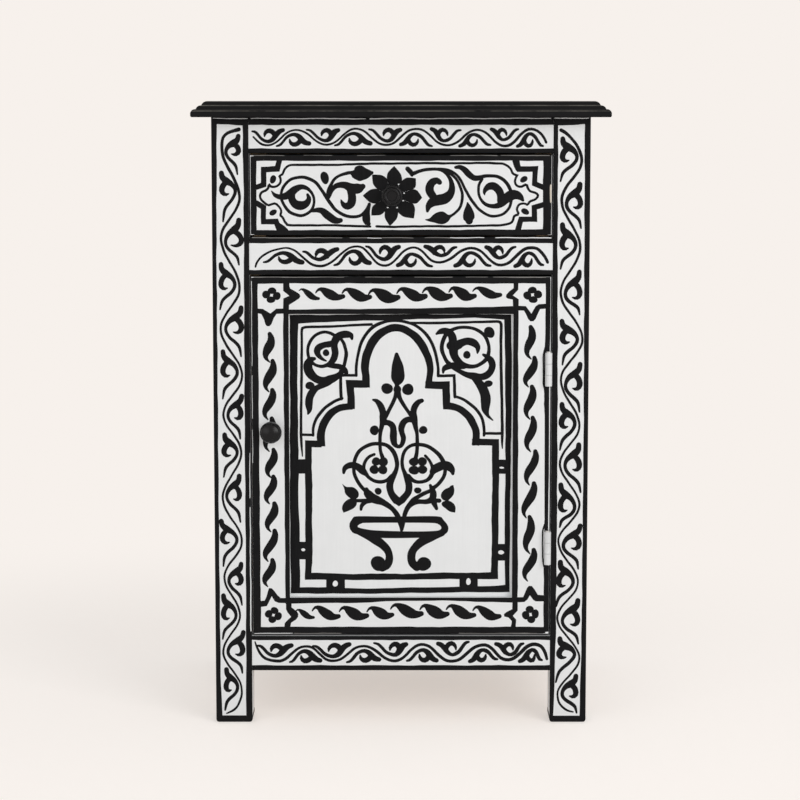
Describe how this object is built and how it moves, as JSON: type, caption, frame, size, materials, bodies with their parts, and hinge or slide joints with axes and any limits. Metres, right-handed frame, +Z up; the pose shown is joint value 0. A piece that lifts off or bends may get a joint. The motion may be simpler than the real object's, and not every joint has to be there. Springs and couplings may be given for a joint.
{
  "type": "nightstand",
  "caption": "Small painted bedside cabinet on four square legs: moulded top, one drawer over one framed and panelled door on butt hinges, turned knobs.",
  "frame": {"origin": "on the floor, under the middle of the whole cabinet's outer box", "axes": "+Z up; +X to the right of someone facing the cabinet; the front faces -Y"},
  "size_m": [0.4212, 0.322, 0.64],
  "materials": {
    "white_painted_wood": "hand brushed white paint, satin",
    "black_painted_wood": "hand brushed black paint, satin",
    "black_painted_knob": "turned wood, black paint, half gloss",
    "bare_wood": "plain sanded softwood",
    "painted_hinge": "steel under the cabinet's white paint",
    "zinc_steel": "bright zinc",
    "catch_case": "matt brown plastic"
  },
  "bodies": {
    "root": {"top": "black_painted_wood", "post_front_left": "white_painted_wood", "post_front_right": "white_painted_wood", "post_back_left": "white_painted_wood", "post_back_right": "white_painted_wood", "rail_front_top": "white_painted_wood", "rail_front_middle": "white_painted_wood", "rail_front_bottom": "white_painted_wood", "rail_back_top": "white_painted_wood", "rail_back_bottom": "white_painted_wood", "rail_left_top": "white_painted_wood", "rail_left_bottom": "white_painted_wood", "rail_right_top": "white_painted_wood", "rail_right_bottom": "white_painted_wood", "panel_left": "white_painted_wood", "panel_right": "white_painted_wood", "panel_back": "bare_wood", "cabinet_floor": "bare_wood", "floor_cleats": "bare_wood", "drawer_shelf": "bare_wood", "shelf_bearers": "bare_wood", "drawer_guides": "bare_wood", "drawer_kickers": "bare_wood", "drawer_stops": "bare_wood", "top_blocks": "bare_wood", "door_stop": "bare_wood", "door_catch": "catch_case", "hinge_upper_post_leaf": "painted_hinge", "hinge_upper_pin": "painted_hinge", "hinge_lower_post_leaf": "painted_hinge", "hinge_lower_pin": "painted_hinge"},
    "drawer": {"drawer_front": "white_painted_wood", "drawer_side_left": "bare_wood", "drawer_side_right": "bare_wood", "drawer_back": "bare_wood", "drawer_bottom": "bare_wood", "drawer_knob": "black_painted_knob", "drawer_knob_screw": "zinc_steel"},
    "door": {"door_stile_hinge": "white_painted_wood", "door_stile_knob": "white_painted_wood", "door_rail_top": "white_painted_wood", "door_rail_bottom": "white_painted_wood", "door_panel": "white_painted_wood", "door_knob": "black_painted_knob", "door_knob_screw": "zinc_steel", "door_catch_plate": "zinc_steel", "hinge_upper_door_leaf": "painted_hinge", "hinge_lower_door_leaf": "painted_hinge"}
  },
  "joints": [
    {"name": "drawer_slide", "type": "slide", "parent": "root", "child": "drawer", "axis": [0, -1, 0], "range_m": [0, 0.18]},
    {"name": "door_hinge", "type": "hinge", "parent": "root", "child": "door", "pos_m": [0.1505, -0.1418, 0.2763], "axis": [0, 0, 1], "range_deg": [0, 170]}
  ]
}
